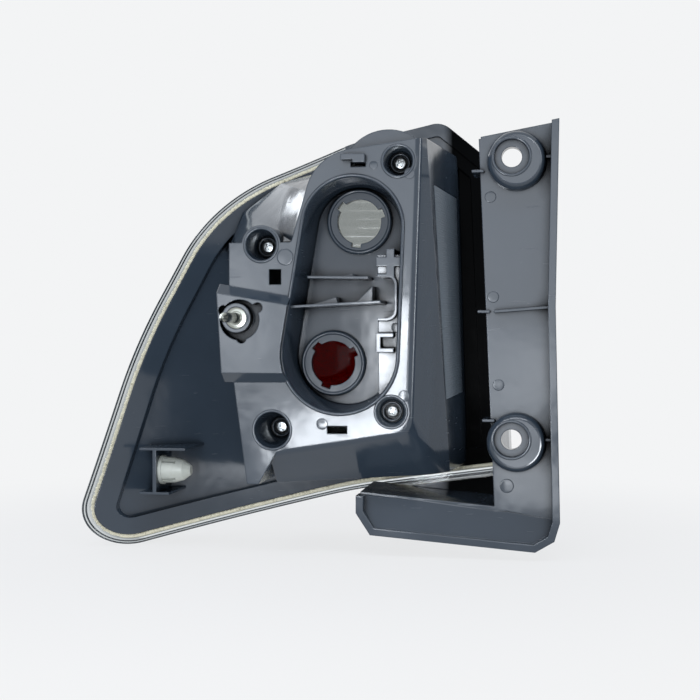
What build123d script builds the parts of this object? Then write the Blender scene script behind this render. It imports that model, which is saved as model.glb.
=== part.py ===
"""Right-hand tail lamp cluster, in millimetres, one STEP file for each piece.

+X points inboard, +Y to the rear of the car, which is the lit side, and +Z up.
The origin is midway between the two body bolts, on the plane of their seats.
A depth is measured inwards from the outer skin of the lit face, along its normal.
"""
import os
from math import cos, radians, sin, tan

from build123d import *

# Lit face: flat beside the tailgate, then wrapped round the corner of the car
REAR_Y = 108.0
WRAP_START_X = -60.0
WRAP_R = 314.0

# Outline of the lamp: corner places and their radii, clockwise from bottom left
LENS_CORNERS = [
    (-287.3, -170.9, 26.0),
    (-249.6, -27.4, 400.0),
    (-205.5, 69.4, 115.0),
    (-113.7, 111.1, 100.0),
    (-51.2, 125.2, 14.0),
    (-14.4, 94.6, 8.0),
    (-5.3, -115.7, 10.0),
    (-112.7, -130.7, 400.0),
]

# Outer lens and the bead that bonds it to the housing
LENS_T = 3.0
SKIRT_T = 3.5
RIM_DEPTH = 20.0
SEALANT_W = 3.2
SEALANT_H = 9.0
SEALANT_SHY = 1.2
BOND_GAP = 0.02

# Housing skin: sealing rim, flange band and the lower floor inside it
WALL = 2.5
BAND_W = 11.0
BAND_DEPTH = 21.5
FLOOR_DEPTH = 16.5
RIM_FOOT_GAP = 2.0
HOOD_LEFT_X = -118.0
HOOD_SIDE_X = -40.0
HOOD_TOP_Z = 70.0
HOOD_BOTTOM_Z = -104.0
HOOD_GAP = 0.3

# Raised box of the housing, with its near face parallel to the bolt seats
PLATEAU_Y = -16.0
BOX_BOTTOM_LEFT = (-150.0, -117.5)
BOX_BOTTOM_RIGHT = (-30.0, -110.5)
BOX_TOP_RIGHT = (-34.0, 101.5)
BOX_TOP_LEFT = (-120.5, 89.5)
BOX_WAIST_X = -136.0
BOX_RADII = [2.0, 4.0, 6.0, 32.0, 2.0, 2.0]
SIDE_CREASE_X = -46.7
SIDE_CREASE_Y = 10.0
SIDE_DRAFT = 6.6
SIDE_LEAN = 1.8
SHOULDER_X = -58.5
SHOULDER_BEVEL = 24.2
BOTTOM_BEVEL_POINT = (-64.0, -84.0)
BOTTOM_BEVEL = 43.5
BOTTOM_LEAN = 9.1
BEVEL_CORNER_R = 14.0
FOOT_EDGE_R = 5.0

# Pads left of the box, which share its cavity
PAD_LEFT_X = -176.0
UPPER_PAD_Z = (7.5, 35.3)
PAD_OVERLAP_X = -122.0
LOWER_PAD_TOP = (-173.8, -46.3)
TONGUE_BOTTOM = (-164.5, -116.4)
TONGUE_W = 7.5
LOWER_PAD_FOOT_Z = -95.0
PLINTH_LIFT = 8.0
PLINTH_FLANK = 6.0
PLINTH_LEFT_X = -182.0
PLINTH_RIGHT_X = -130.0
PLINTH_TOP_Z = 3.6
PLINTH_TOP_DROP = 9.0
PLINTH_BOTTOM_Z = -46.3

# Ramp that carries the box down to the flange band at the upper left
RAMP_NEAR_Y = -9.0
RAMP_FAR_Y = 55.0
RAMP_FOOT_Z = 34.8
RAMP_NEAR = [(-174.0, RAMP_FOOT_Z), (-137.5, 36.5), (-128.0, 68.0), (-104.0, 90.0), (-104.0, 30.0)]
RAMP_FAR = [(-197.0, RAMP_FOOT_Z), (-184.0, 62.0), (-158.0, 81.0), (-104.0, 95.0), (-104.0, 30.0)]

# Round hump behind the top edge of the box
HUMP = (-77.3, 75.8)
HUMP_R = 30.8
HUMP_RIGHT_X = -60.0
HUMP_Y = 0.0

# Bulb bay: two round ends joined by tangents, drafted, with a thin raised lip
BAY_UPPER = (-97.5, 44.3)
BAY_UPPER_R = 31.0
BAY_LOWER = (-105.6, -35.0)
BAY_LOWER_R = 36.0
BAY_FLOOR_Y = 15.0
BAY_DRAFT = 7.0
LIP_W = 1.6
LIP_H = 1.2
LEDGE_X = -82.3
LEDGE_Z = (-66.0, 27.0)
LEDGE_Y = -8.0
LEDGE_TILT = 4.0
GUIDE_X = -71.5
GUIDE_Z = (-12.0, 13.5)
GUIDE_R = 5.0
GUIDE_WALL = 1.8
GUIDE_Y = -13.0
BLADE_T = 1.6
UPPER_BLADE = [(-128.0, 14.0), (-89.0, 13.4)]
UPPER_BLADE_Y = -5.0
LOWER_BLADE = [(-146.0, -5.4), (-80.0, -2.0)]
LOWER_BLADE_Y = -14.0
GUSSETS = [
    [(-112.6, 13.6), (-98.4, 13.6), (-100.0, 16.2)],
    [(-131.8, -4.8), (-110.4, 1.5), (-109.1, -3.6)],
    [(-99.0, -3.2), (-87.0, -2.6), (-87.0, 8.3)],
]
GUSSET_Y = 0.0

# Cable clips on the ledge, each of crossing bars: centre, width, height
CABLE_CLIPS = [
    (-74.4, 22.8, 17.0, 5.6),
    (-74.0, 22.0, 5.0, 17.4),
    (-81.5, -27.4, 3.0, 12.0),
    (-77.5, -22.7, 11.0, 2.6),
    (-77.5, -32.1, 11.0, 2.6),
]
CABLE_CLIP_Y = -13.0

# Bulb seats: twist-lock holes in a raised ring on the bay floor
UPPER_BULB = (-97.4, 50.1)
LOWER_BULB = (-114.4, -40.7)
BULB_HOLE_R = 14.25
SEAT_RING_R = 21.0
SEAT_RING_H = 3.0
NOTCH_W = 6.0
NOTCH_DEPTH = 2.4
UPPER_NOTCH_ANGLES = (140.0, 262.0, 20.0)
LOWER_NOTCH_ANGLES = (28.0, 135.0, 252.0)

# Screws that hold the bezel, each at the bottom of a pocket: x, z, mouth radius, depth
SCREWS = {
    "upper_right": (-68.8, 84.4, 9.3, 14.0),
    "lower_right": (-73.1, -70.1, 9.3, 9.0),
    "upper_left": (-155.3, 33.8, 10.0, 22.0),
    "lower_left": (-148.3, -82.2, 11.5, 30.0),
}
WALLED_POST = "upper_left"
POCKET_FLOOR_R = 6.8
SCREW_SEAT_R = 4.9
SCREW_SEAT_DEPTH = 2.6
SCREW_R = 1.9
SCREW_L = 14.0
SCREW_HEAD_R = 3.6
SCREW_HEAD_H = 2.4
SCREW_CLEARANCE = 0.3
POST_R = 4.5
POST_CLEARANCE = 1.0
PILOT_CLEARANCE = 0.05

# Small openings in the near face of the box and pads: centre, width, height
SQUARE_HOLE = (-146.3, 13.7, 7.6, 9.5)
LOWER_SLOT = (-106.9, -81.6, 12.5, 4.6)
HOOK_SLOT = (-93.6, 83.0, 9.4, 3.0)
HOOK_BARS = [(-100.1, 87.2, 7.6, 3.5), (-92.7, 86.2, 7.6, 5.2)]
HOOK_REACH = 5.0

# Stud in the plinth
STUD = (-169.4, -12.0)
STUD_R = 3.0
STUD_L = 33.0
STUD_TIP = 1.2
STUD_FLANGE_R = 6.8
STUD_FLANGE_T = 3.0
STUD_SEAT_WALL = 2.4
STUD_RECESS = (-167.2, -13.2)
STUD_RECESS_R = 12.6
STUD_RECESS_DEPTH = 7.0
STUD_LOBE_R = 3.2
STUD_LOBES = [(150.0, 9.4), (25.0, 15.0), (285.0, 13.0)]

# Push clip and the little tower that carries it
CLIP_X = -231.0
CLIP_Z = -111.9
CLIP_STAND = 20.4
CLIP_NECK_R = 3.2
CLIP_CLEARANCE = 0.1
CLIP_COLLAR_R = 9.6
CLIP_COLLAR_T = 2.0
CLIP_BODY_R = 8.8
CLIP_BODY_L = 18.2
CLIP_NOSE = [(1.0, 0.0), (0.95, 0.4), (0.76, 0.74), (0.36, 1.0)]
CLIP_HEAD_R = 6.0
CLIP_HEAD_T = 2.0
CLIP_SLOT_W = 2.2
TOWER_T = 2.5
TOWER_GUSSET_T = 1.6
TOWER_HALF_H = 14.5
TOWER_RISE = 12.0
TOWER_REACH = 22.0
TOWER_BACK_REACH = 9.0

# Body bolts and the bracket that takes them
BOLT_SPACING = 175.0
BOLT_HOLE_R = 6.3
BOLT_SEAT_R = 10.8
BOSS_R = 18.3
BOSS_ROUND = 3.4
BOSS_OFFSET = (3.0, -2.0)
BOSS_RISE = 3.0
BRACKET_T = 2.5
BRACKET_Y = 6.0
LIP_Y = -5.0
BRACKET_LIP_W = 4.6
BRACKET_TOP_LEFT = (-20.8, 101.3)
BRACKET_TOP_RIGHT = (29.0, 109.8)
BRACKET_RIGHT_WAIST = (27.0, -5.0)
BRACKET_RIGHT_FOOT = (29.9, -138.0)
BRACKET_CORNER = (26.5, -149.5)
BRACKET_BOTTOM_RIGHT = (14.7, -156.5)
BRACKET_BOTTOM_LEFT = (-88.0, -148.4)
BRACKET_END = (-97.0, -134.7)
BRACKET_END_TOP = (-97.0, -122.5)
BRACKET_INNER_Z = -130.5
ARM_TILT = 24.0
ARM_FOOT_L = 86.0
BRACKET_SHELF_Y = 62.0
BRACKET_FOOT_Y = 96.0
BRACKET_RIB_T = 1.6
BRACKET_RIB_H = 5.0
BRACKET_RIB_Z = -8.0
BRACKET_RIB_RISE = 3.0
GAP_RIB_Z = (79.5, -8.0, -76.0)
GAP_RIB_W = 5.0
GAP_RIB_Y = (2.0, 30.0)

# Reflector bezel and the inner lenses
BEZEL_DEPTH = 9.0
BEZEL_T = 2.0
BEZEL_GAP = 0.5
NECK_GAP = 1.0
NECK_MARGIN = 2.5
UPPER_MOUTH_R = 37.0
LOWER_MOUTH_R = 45.0
BOWL_T = 2.0
BOWL_STEPS = (0.0, 0.3, 1.0)
INNER_LENS_T = 3.6
INNER_LENS_LAP = 3.0
FLUTE_PITCH = 6.0
FLUTE_W = 5.4
FLUTE_DEPTH = 1.2

# Reach of the trimming solids, well past every outline
FAR_X = 40.0
BEYOND_Y = 40.0
NEAR_REACH = 225.0
WRAP_SWEEP = 56.0
CUT_SIZE = 900.0


def wrap_y(x, depth):
    """Y of the wrapped part of the face, at a depth under its skin."""
    return REAR_Y - WRAP_R + ((WRAP_R - depth) ** 2 - (x - WRAP_START_X) ** 2) ** 0.5


CLIP_Y = wrap_y(CLIP_X, FLOOR_DEPTH) - CLIP_STAND


def at_y(y):
    """Drawing plane parallel to the bolt seats, with x across and z up."""
    return Plane.XZ.offset(-y)


def prism(sketch, near, far):
    """Solid with a flat outline between two depths along Y."""
    return extrude(at_y(near) * sketch, amount=far - near, dir=(0, 1, 0))


def polygon(points):
    return make_face(Polyline(*points, close=True))


def ruled(near, near_points, far, far_points):
    """Solid between two outlines of as many corners, with flat or twisted walls."""
    sections = [at_y(near) * polygon(near_points), at_y(far) * polygon(far_points)]
    return loft(sections, ruled=True)


def disc(centre, radius, near, far):
    return prism(Pos(*centre) * Circle(radius), near, far)


def plate_along(ends, thickness, near, far, overrun=0):
    """Upright plate that runs from one point of the XZ plane to another, or past both."""
    start, end = Vector(*ends[0]), Vector(*ends[1])
    middle = (start + end) / 2
    run = end - start
    turn = Rot(0, 0, Vector(1, 0).get_signed_angle(run, Vector(0, 0, 1)))
    section = Rectangle(run.length + 2 * overrun, thickness)
    return prism(Pos(middle.X, middle.Y) * turn * section, near, far)


def lens_outline(inset):
    """Outline of the lamp, drawn in by a distance."""
    corners = [(x, z) for x, z, _ in LENS_CORNERS]
    radii = [radius for _, _, radius in LENS_CORNERS]
    face = make_face(FilletPolyline(*corners, radius=radii, close=True))
    return offset(face, amount=-inset) if inset else face


def column(inset):
    """The lamp's outline carried straight through its whole depth."""
    return prism(lens_outline(inset), -BEYOND_Y, REAR_Y + BEYOND_Y)


def skin(shallow, deep):
    """Layer between two depths under the lit face, whose section is a line and an arc."""
    centre = (WRAP_START_X, REAR_Y - WRAP_R)
    outer = CenterArc(centre, WRAP_R - shallow, 90, WRAP_SWEEP)
    inner = CenterArc(centre, WRAP_R - deep, 90, WRAP_SWEEP)
    outline = [
        outer,
        Line(outer @ 1, inner @ 1),
        inner,
        Line(inner @ 0, (FAR_X, REAR_Y - deep)),
        Line((FAR_X, REAR_Y - deep), (FAR_X, REAR_Y - shallow)),
        Line((FAR_X, REAR_Y - shallow), outer @ 0),
    ]
    return extrude(make_face(outline), amount=CUT_SIZE / 2, both=True)


def rim_ring(outer_inset, inner_inset):
    return column(outer_inset) - column(inner_inset)


def keep_inside(solid, point, outward):
    """Part of a solid on the inner side of a plane."""
    return split(solid, bisect_by=Plane(point, z_dir=outward), keep=Keep.BOTTOM)


def bay_hull(grow):
    """Flat outline of the bulb bay at the plateau, grown by a distance."""
    upper = Pos(*BAY_UPPER) * Circle(BAY_UPPER_R + grow)
    lower = Pos(*BAY_LOWER) * Circle(BAY_LOWER_R + grow)
    return make_hull(upper.edges() + lower.edges())


def bay_solid(grow, floor_y):
    """Drafted bay from the plateau down to a floor."""
    drawn_in = (floor_y - PLATEAU_Y) * tan(radians(BAY_DRAFT))
    return loft([at_y(PLATEAU_Y) * bay_hull(grow), at_y(floor_y) * bay_hull(grow - drawn_in)], ruled=True)


def pocket_floor(name):
    """Y of the seat that a screw's head lies on."""
    return PLATEAU_Y + SCREWS[name][3]


def box_block(inset):
    """Box with a bevelled right side and bottom, drawn in on its walls and near face."""
    corners = [
        BOX_BOTTOM_LEFT,
        BOX_BOTTOM_RIGHT,
        BOX_TOP_RIGHT,
        BOX_TOP_LEFT,
        (BOX_WAIST_X, UPPER_PAD_Z[1]),
        (BOX_BOTTOM_LEFT[0], UPPER_PAD_Z[1]),
    ]
    outline = make_face(FilletPolyline(*corners, radius=BOX_RADII, close=True))
    if inset:
        outline = offset(outline, amount=-inset)
    box = prism(outline, PLATEAU_Y + inset, REAR_Y)
    cuts = [
        ((SIDE_CREASE_X, SIDE_CREASE_Y, 0), (1, -tan(radians(SIDE_DRAFT)), tan(radians(SIDE_LEAN)))),
        ((SHOULDER_X, PLATEAU_Y, 0), (1, -tan(radians(SHOULDER_BEVEL)), -tan(radians(SIDE_LEAN)))),
        (
            (BOTTOM_BEVEL_POINT[0], PLATEAU_Y, BOTTOM_BEVEL_POINT[1]),
            (tan(radians(BOTTOM_LEAN)), -tan(radians(BOTTOM_BEVEL)), -1),
        ),
    ]
    normals = []
    for point, outward in cuts:
        normals.append(Vector(*outward).normalized())
        box = keep_inside(box, Vector(*point) - normals[-1] * inset, normals[-1])
    between_bevels = normals[1].cross(normals[2])
    corner = box.edges().filter_by(Axis((0, 0, 0), between_bevels))
    box = fillet(corner, BEVEL_CORNER_R - inset)
    foot_edge = box.edges().filter_by(Axis((0, 0, 0), normals[2].cross(Vector(0, 1, 0)))).sort_by(Axis.Y)[0]
    return fillet(foot_edge, FOOT_EDGE_R - inset)


def pad_blocks(inset):
    """Upper pad, lower pad with its tongue, and the raised plinth between them."""
    upper = polygon([
        (PAD_LEFT_X, UPPER_PAD_Z[0]),
        (PAD_OVERLAP_X, UPPER_PAD_Z[0] - PLINTH_TOP_DROP),
        (PAD_OVERLAP_X, UPPER_PAD_Z[1]),
        (PAD_LEFT_X, UPPER_PAD_Z[1]),
    ])
    lower = polygon([
        LOWER_PAD_TOP,
        TONGUE_BOTTOM,
        (TONGUE_BOTTOM[0] + TONGUE_W, TONGUE_BOTTOM[1]),
        (BOX_BOTTOM_LEFT[0] + 2 * WALL, LOWER_PAD_FOOT_Z),
        (PAD_OVERLAP_X, LOWER_PAD_TOP[1]),
    ])
    plinth_near = polygon([
        (PLINTH_LEFT_X, PLINTH_TOP_Z),
        (PLINTH_LEFT_X + PLINTH_FLANK / 2, PLINTH_BOTTOM_Z),
        (PLINTH_RIGHT_X, PLINTH_BOTTOM_Z),
        (PLINTH_RIGHT_X, PLINTH_TOP_Z - PLINTH_TOP_DROP),
    ])
    plinth_base = polygon([
        (PLINTH_LEFT_X, PLINTH_TOP_Z + PLINTH_FLANK),
        (PLINTH_LEFT_X + PLINTH_FLANK / 2, PLINTH_BOTTOM_Z - PLINTH_FLANK),
        (PLINTH_RIGHT_X, PLINTH_BOTTOM_Z - PLINTH_FLANK),
        (PLINTH_RIGHT_X, PLINTH_TOP_Z - PLINTH_TOP_DROP + PLINTH_FLANK),
    ])
    near = PLATEAU_Y + inset
    if inset:
        upper, lower, plinth_near, plinth_base = (
            offset(face, amount=-inset, kind=Kind.INTERSECTION)
            for face in (upper, lower, plinth_near, plinth_base)
        )
    cap = loft([at_y(near - PLINTH_LIFT) * plinth_near, at_y(near) * plinth_base], ruled=True)
    return [prism(upper, near, REAR_Y), prism(lower, near, REAR_Y), cap, prism(plinth_base, near, REAR_Y)]


def ramp_block(inset):
    """Sloping block between the box and the flange band; its hollow is the same block moved in."""
    slope = ruled(RAMP_NEAR_Y, RAMP_NEAR, RAMP_FAR_Y, RAMP_FAR)
    ramp = Pos(inset, inset, -inset) * (slope + prism(polygon(RAMP_FAR), RAMP_FAR_Y, REAR_Y))
    return keep_inside(ramp, (0, 0, RAMP_FOOT_Z + inset), (0, 0, -1)) if inset else ramp


def raised_blocks(inset):
    """Everything that stands up from the housing floor, as one solid."""
    hump = disc(HUMP, HUMP_R - inset, HUMP_Y + inset, REAR_Y)
    hump = keep_inside(hump, (HUMP_RIGHT_X - inset, 0, 0), (1, 0, 0))
    return box_block(inset) + pad_blocks(inset) + ramp_block(inset) + hump


def twist_hole(centre, angles, near, far):
    """Round hole with three bayonet notches."""
    hole = disc(centre, BULB_HOLE_R, near, far)
    reach = BULB_HOLE_R + NOTCH_DEPTH
    for angle in angles:
        notch = Pos(*centre) * Rot(0, 0, angle) * Pos(reach / 2, 0) * Rectangle(reach, NOTCH_W)
        hole += prism(notch, near, far)
    return hole


def stud_recess():
    """Lobed recess round the stud seat in the plinth."""
    outline = Pos(*STUD_RECESS) * Circle(STUD_RECESS_R)
    for angle, reach in STUD_LOBES:
        lobe = SlotCenterPoint((reach / 2, 0), (reach, 0), 2 * STUD_LOBE_R)
        outline += Pos(*STUD) * Rot(0, 0, angle) * lobe
    near = PLATEAU_Y - PLINTH_LIFT
    seat = disc(STUD, STUD_FLANGE_R + STUD_SEAT_WALL, near, near + STUD_RECESS_DEPTH)
    return prism(outline, near, near + STUD_RECESS_DEPTH) - seat


def clip_tower():
    """Upright wall with two gussets on the housing floor, pierced for the push clip."""
    x0 = CLIP_X - TOWER_T
    wall = Pos((x0 + CLIP_X) / 2, 0, CLIP_Z) * Box(TOWER_T, CUT_SIZE, 2 * TOWER_HALF_H)
    upper = Box(TOWER_REACH + TOWER_BACK_REACH, CUT_SIZE, TOWER_GUSSET_T)
    lower = Box(TOWER_REACH / 2 + TOWER_BACK_REACH, CUT_SIZE, TOWER_GUSSET_T)
    wall += Pos(x0 + (TOWER_REACH - TOWER_BACK_REACH) / 2, 0, CLIP_Z + TOWER_HALF_H) * upper
    wall += Pos(x0 + (TOWER_REACH / 2 - TOWER_BACK_REACH) / 2, 0, CLIP_Z - TOWER_HALF_H) * lower
    wall = keep_inside(wall, (0, CLIP_Y - TOWER_RISE, 0), (0, -1, 0))
    bore = Pos(CLIP_X, CLIP_Y, CLIP_Z) * Rot(0, 90, 0) * Cylinder(CLIP_NECK_R + CLIP_CLEARANCE, 4 * TOWER_T)
    return wall - bore


def rim_hood():
    """Shroud over the top and inboard edges of the lens, carried by the sealing rim."""
    near = RIM_DEPTH + HOOD_GAP
    ring = rim_ring(HOOD_GAP, SKIRT_T + SEALANT_W + WALL)
    stretch = polygon([
        (HOOD_LEFT_X, HOOD_TOP_Z),
        (HOOD_SIDE_X, HOOD_TOP_Z),
        (HOOD_SIDE_X, HOOD_BOTTOM_Z),
        (FAR_X, HOOD_BOTTOM_Z),
        (FAR_X, 2 * HOOD_TOP_Z),
        (HOOD_LEFT_X, 2 * HOOD_TOP_Z),
    ])
    return ring & skin(near, near + WALL) & prism(stretch, -BEYOND_Y, REAR_Y)


def make_housing():
    """One moulding: sealing rim, flange band, floor, hollow box, bay, pockets and tower."""
    edge = SKIRT_T + SEALANT_W
    inner = edge + BAND_W
    ground = skin(FLOOR_DEPTH - WALL, NEAR_REACH)
    body = column(inner - WALL) & skin(FLOOR_DEPTH - WALL, FLOOR_DEPTH)
    body += rim_ring(edge, edge + WALL) & skin(LENS_T + RIM_FOOT_GAP, BAND_DEPTH)
    body += rim_ring(edge, inner) & skin(BAND_DEPTH - WALL, BAND_DEPTH)
    body += rim_ring(inner - WALL, inner) & skin(FLOOR_DEPTH - WALL, BAND_DEPTH)
    body += rim_hood()
    blocks = raised_blocks(0)
    body += blocks & ground
    x, z, _, _ = SCREWS[WALLED_POST]
    sleeve_r = POST_R + POST_CLEARANCE + WALL
    sleeve = disc((x, z), sleeve_r, pocket_floor(WALLED_POST), REAR_Y) & ground
    body = (body - raised_blocks(WALL)) + sleeve
    body += clip_tower() & ground

    for name, (x, z, mouth, _) in SCREWS.items():
        floor = pocket_floor(name)
        body += disc((x, z), mouth + WALL, PLATEAU_Y, floor + WALL)
    body += bay_solid(WALL, BAY_FLOOR_Y + WALL)
    body += prism(bay_hull(LIP_W), PLATEAU_Y - LIP_H, PLATEAU_Y + WALL)

    bay = bay_solid(0, BAY_FLOOR_Y) + prism(bay_hull(0), PLATEAU_Y - 2 * PLINTH_LIFT, PLATEAU_Y)
    body -= bay
    body += bay_fittings() & bay
    for centre, angles in ((UPPER_BULB, UPPER_NOTCH_ANGLES), (LOWER_BULB, LOWER_NOTCH_ANGLES)):
        body += disc(centre, SEAT_RING_R, BAY_FLOOR_Y - SEAT_RING_H, BAY_FLOOR_Y) & bay
        body -= twist_hole(centre, angles, BAY_FLOOR_Y - 2 * SEAT_RING_H, BAY_FLOOR_Y + 2 * WALL)

    for name, (x, z, mouth, depth) in SCREWS.items():
        floor = pocket_floor(name)
        mouth_plane = Plane((x, PLATEAU_Y, z), z_dir=(0, 1, 0))
        body -= Solid.make_cone(mouth, POCKET_FLOOR_R, depth - SCREW_SEAT_DEPTH, mouth_plane)
        body -= disc((x, z), mouth, PLATEAU_Y - 2 * PLINTH_LIFT, PLATEAU_Y)
        body -= disc((x, z), SCREW_SEAT_R, floor - 2 * SCREW_SEAT_DEPTH, floor)
        body -= disc((x, z), SCREW_R + SCREW_CLEARANCE, floor, floor + WALL)
        body -= disc((x, z), POST_R + POST_CLEARANCE, floor + WALL, REAR_Y)

    for x, z, width, height in (SQUARE_HOLE, LOWER_SLOT, HOOK_SLOT):
        body -= prism(Pos(x, z) * Rectangle(width, height), PLATEAU_Y - WALL, PLATEAU_Y + 2 * WALL)
    for x, z, width, height in HOOK_BARS:
        body += prism(Pos(x, z) * Rectangle(width, height), PLATEAU_Y - HOOK_REACH, PLATEAU_Y + WALL)

    seat_y = PLATEAU_Y - PLINTH_LIFT
    backing = disc(STUD_RECESS, STUD_RECESS_R + 2 * WALL, seat_y, seat_y + STUD_RECESS_DEPTH + WALL)
    body += backing & blocks
    body -= stud_recess()
    body -= disc(STUD, STUD_FLANGE_R, seat_y, seat_y + STUD_FLANGE_T)
    return body


def bay_fittings():
    """Cable ledge with its clips, round guide wall and two gusseted blades on the bay floor."""
    ledge = polygon([
        (LEDGE_X, LEDGE_Z[0]),
        (0, LEDGE_Z[0]),
        (0, LEDGE_Z[1]),
        (LEDGE_X, LEDGE_Z[1]),
    ])
    middle = Pos(LEDGE_X, (GUIDE_Z[0] + GUIDE_Z[1]) / 2)
    notch = middle * RectangleRounded(2 * (GUIDE_X - LEDGE_X), GUIDE_Z[1] - GUIDE_Z[0], GUIDE_R)
    guide = offset(notch, amount=GUIDE_WALL)
    shelf_middle = (LEDGE_X, LEDGE_Y, (LEDGE_Z[0] + LEDGE_Z[1]) / 2)
    shelf_facing = (0, -cos(radians(LEDGE_TILT)), -sin(radians(LEDGE_TILT)))
    fittings = keep_inside(prism(ledge, GUIDE_Y, BAY_FLOOR_Y), shelf_middle, shelf_facing)
    fittings += prism(guide & ledge, GUIDE_Y, BAY_FLOOR_Y)
    fittings -= prism(notch, GUIDE_Y, BAY_FLOOR_Y)
    fittings += plate_along(UPPER_BLADE, BLADE_T, UPPER_BLADE_Y, BAY_FLOOR_Y)
    fittings += plate_along(LOWER_BLADE, BLADE_T, LOWER_BLADE_Y, BAY_FLOOR_Y)
    for corners in GUSSETS:
        fittings += prism(polygon(corners), GUSSET_Y, BAY_FLOOR_Y)
    for x, z, width, height in CABLE_CLIPS:
        fittings += prism(Pos(x, z) * Rectangle(width, height), CABLE_CLIP_Y, BAY_FLOOR_Y)
    return fittings


def make_outer_lens():
    """Clear cup: the lit face with a skirt round its outline."""
    return (column(0) & skin(0, LENS_T)) + (rim_ring(0, SKIRT_T) & skin(0, RIM_DEPTH))


def make_lens_sealant():
    """Bead between the lens skirt and the sealing rim of the housing."""
    near = RIM_DEPTH - SEALANT_SHY
    bead = rim_ring(SKIRT_T + BOND_GAP, SKIRT_T + SEALANT_W - BOND_GAP)
    return bead & skin(near - SEALANT_H, near)


def bowl(centre, mouth_r, grow):
    """Reflector bowl from its neck at the bulb seat to the lit face: a parabola in cones."""
    neck_r = BULB_HOLE_R + NECK_MARGIN
    near = BAY_FLOOR_Y + WALL + NECK_GAP
    outline = [(0, near)]
    for step in BOWL_STEPS:
        radius = (neck_r**2 + step * (mouth_r**2 - neck_r**2)) ** 0.5
        outline.append((radius + grow, near + step * (REAR_Y - near)))
    outline.append((0, REAR_Y))
    x, z = centre
    return revolve(Pos(x, 0, z) * polygon(outline), Axis((x, 0, z), (0, 1, 0)), 360)


def make_reflector_bezel():
    """Front plate with two bowls and four screw posts, moulded in one."""
    edge = SKIRT_T + SEALANT_W + WALL + BEZEL_GAP
    behind = skin(BEZEL_DEPTH, NEAR_REACH)
    bezel = column(edge) & skin(BEZEL_DEPTH, BEZEL_DEPTH + BEZEL_T)
    bowls = ((UPPER_BULB, UPPER_MOUTH_R), (LOWER_BULB, LOWER_MOUTH_R))
    for centre, mouth_r in bowls:
        bezel += bowl(centre, mouth_r, BOWL_T) & behind
    for name, (x, z, _, _) in SCREWS.items():
        bezel += disc((x, z), POST_R, pocket_floor(name) + WALL, REAR_Y) & behind
    for centre, mouth_r in bowls:
        bezel -= bowl(centre, mouth_r, 0)
    for name, (x, z, _, _) in SCREWS.items():
        top = pocket_floor(name) + WALL
        bezel -= disc((x, z), SCREW_R + PILOT_CLEARANCE, top, top + SCREW_L)
    return bezel


def inner_lens(centre, mouth_r):
    """Round insert that lies on the lit side of the bezel and laps its opening."""
    blank = disc(centre, mouth_r + INNER_LENS_LAP, -BEYOND_Y, REAR_Y + BEYOND_Y)
    return blank & skin(BEZEL_DEPTH - INNER_LENS_T, BEZEL_DEPTH)


def make_signal_inner_lens():
    """Clear insert with level V-shaped flutes round its inner face."""
    lens = inner_lens(UPPER_BULB, UPPER_MOUTH_R)
    reach = UPPER_MOUTH_R - INNER_LENS_LAP
    count = int(reach // FLUTE_PITCH)
    wrap_axis = Axis((WRAP_START_X, REAR_Y - WRAP_R, 0), (0, 0, 1))
    face_x = WRAP_START_X - WRAP_R + BEZEL_DEPTH
    flutes = []
    for row in range(-count, count + 1):
        z = UPPER_BULB[1] + row * FLUTE_PITCH
        groove = Polyline(
            (face_x + FLUTE_DEPTH, wrap_axis.position.Y, z - FLUTE_W),
            (face_x - FLUTE_DEPTH, wrap_axis.position.Y, z),
            (face_x + FLUTE_DEPTH, wrap_axis.position.Y, z + FLUTE_W),
            close=True,
        )
        flutes.append(revolve(make_face(groove), wrap_axis, -90))
    window = disc(UPPER_BULB, reach, -BEYOND_Y, REAR_Y)
    return lens - (Part() + flutes & window)


def inner_edge():
    """Near edge of the bracket's deep wall, parallel to the straight side of the lens."""
    top, corner = (Vector(x, z) for x, z, _ in LENS_CORNERS[5:7])
    side = (corner - top).normalized()
    near_top = Vector(*BRACKET_TOP_LEFT)
    return near_top, near_top + side * ((BRACKET_INNER_Z - near_top.Y) / side.Y), side


def bracket_walls():
    """Deep walls behind the inner edges, a shelf behind the arm, and a foot on the lens skirt."""
    near_top, near_corner, side = inner_edge()
    top, corner, arm_end = (Vector(x, z) for x, z, _ in LENS_CORNERS[5:8])
    top += side * LENS_CORNERS[5][2]
    arm_end = corner + (arm_end - corner).normalized() * ARM_FOOT_L
    out, down = Vector(BRACKET_T, 0), Vector(0, -BRACKET_T)
    past = side * BRACKET_T
    near_top += down / 2
    near_end = Vector(*BRACKET_END_TOP) + out / 2
    level_end = Vector(corner.X, near_corner.Y) + out / 2
    upright_near = [near_top, near_top + out, near_corner + past + out, near_corner + past]
    upright_foot = [top, top + out, corner + past + out, corner + past]
    level_foot = [arm_end, corner + out / 2, corner + out / 2 + down, arm_end + down]
    shelf = [arm_end, corner + out / 2, level_end, arm_end + down]
    return [
        ruled(BRACKET_Y, upright_near, BRACKET_SHELF_Y, upright_foot),
        prism(polygon(upright_foot), BRACKET_SHELF_Y, BRACKET_FOOT_Y),
        prism(polygon(level_foot), BRACKET_SHELF_Y, BRACKET_FOOT_Y),
        prism(polygon(shelf), BRACKET_SHELF_Y, BRACKET_SHELF_Y + BRACKET_T),
        prism(
            polygon([near_end, level_end, level_end + down, near_end + down]),
            BRACKET_Y,
            BRACKET_SHELF_Y + BRACKET_T,
        ),
    ]


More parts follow.
